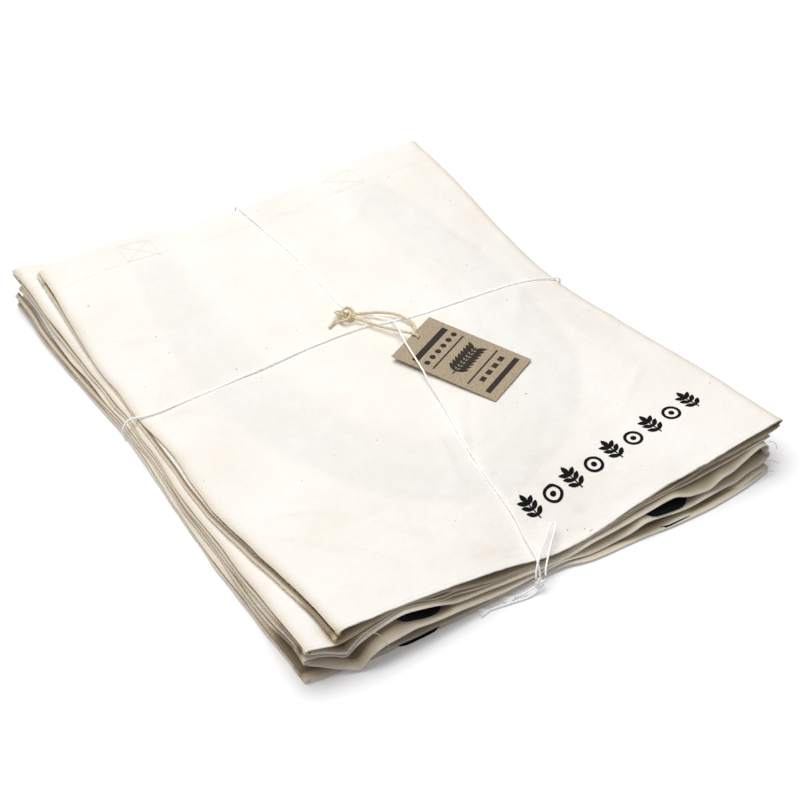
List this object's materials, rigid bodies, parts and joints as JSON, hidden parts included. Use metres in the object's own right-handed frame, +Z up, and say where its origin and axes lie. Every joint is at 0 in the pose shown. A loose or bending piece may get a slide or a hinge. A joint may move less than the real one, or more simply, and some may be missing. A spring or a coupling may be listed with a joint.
{
  "type": "tied bundle of cotton tote bags",
  "caption": "Flat stack of hemmed cotton tote bags tied crosswise with twine, with a card tag hung on a cord over the crossing.",
  "frame": {"origin": "centre of the bundle's box, on the surface it rests on", "axes": "+Z up, +Y towards the mouths of the upper two bags, +X to the right of them"},
  "size_m": [0.3959, 0.4963, 0.039],
  "materials": {
    "cotton": "unbleached plain-weave cotton with seed specks",
    "webbing": "black woven cotton webbing",
    "twine": "thin twisted white twine",
    "tag_cord": "twisted tan jute cord",
    "card": "uncoated card"
  },
  "bodies": {
    "bundle": {"bag_1_front_panel": "cotton", "bag_1_back_panel": "cotton", "bag_1_front_handle": "webbing", "bag_1_back_handle": "webbing", "bag_2_front_panel": "cotton", "bag_2_back_panel": "cotton", "bag_2_front_handle": "webbing", "bag_2_back_handle": "webbing", "bag_3_front_panel": "cotton", "bag_3_back_panel": "cotton", "bag_3_front_handle": "webbing", "bag_3_back_handle": "webbing", "bag_4_front_panel": "cotton", "bag_4_back_panel": "cotton", "bag_4_front_handle": "webbing", "bag_4_back_handle": "webbing", "twine_crosswise": "twine", "twine_lengthwise": "twine", "twine_knot": "twine", "twine_bow_loop": "twine", "twine_short_tail": "twine", "twine_long_tail": "twine"},
    "tag_hanger": {"tag_cord": "tag_cord", "tag_cord_knot": "tag_cord", "tag_cord_tail": "tag_cord"},
    "tag": {"tag_card": "card"}
  },
  "joints": [
    {"name": "tag_swing", "type": "hinge", "parent": "bundle", "child": "tag_hanger", "pos_m": [0.035, 0.02585, 0.0305], "axis": [0, 0, 1], "range_deg": [-2, 8]},
    {"name": "tag_lift", "type": "hinge", "parent": "tag_hanger", "child": "tag", "pos_m": [0.0369, -0.00785, 0.0344], "axis": [-0.184, -0.9829, 0], "range_deg": [0, 8]}
  ]
}
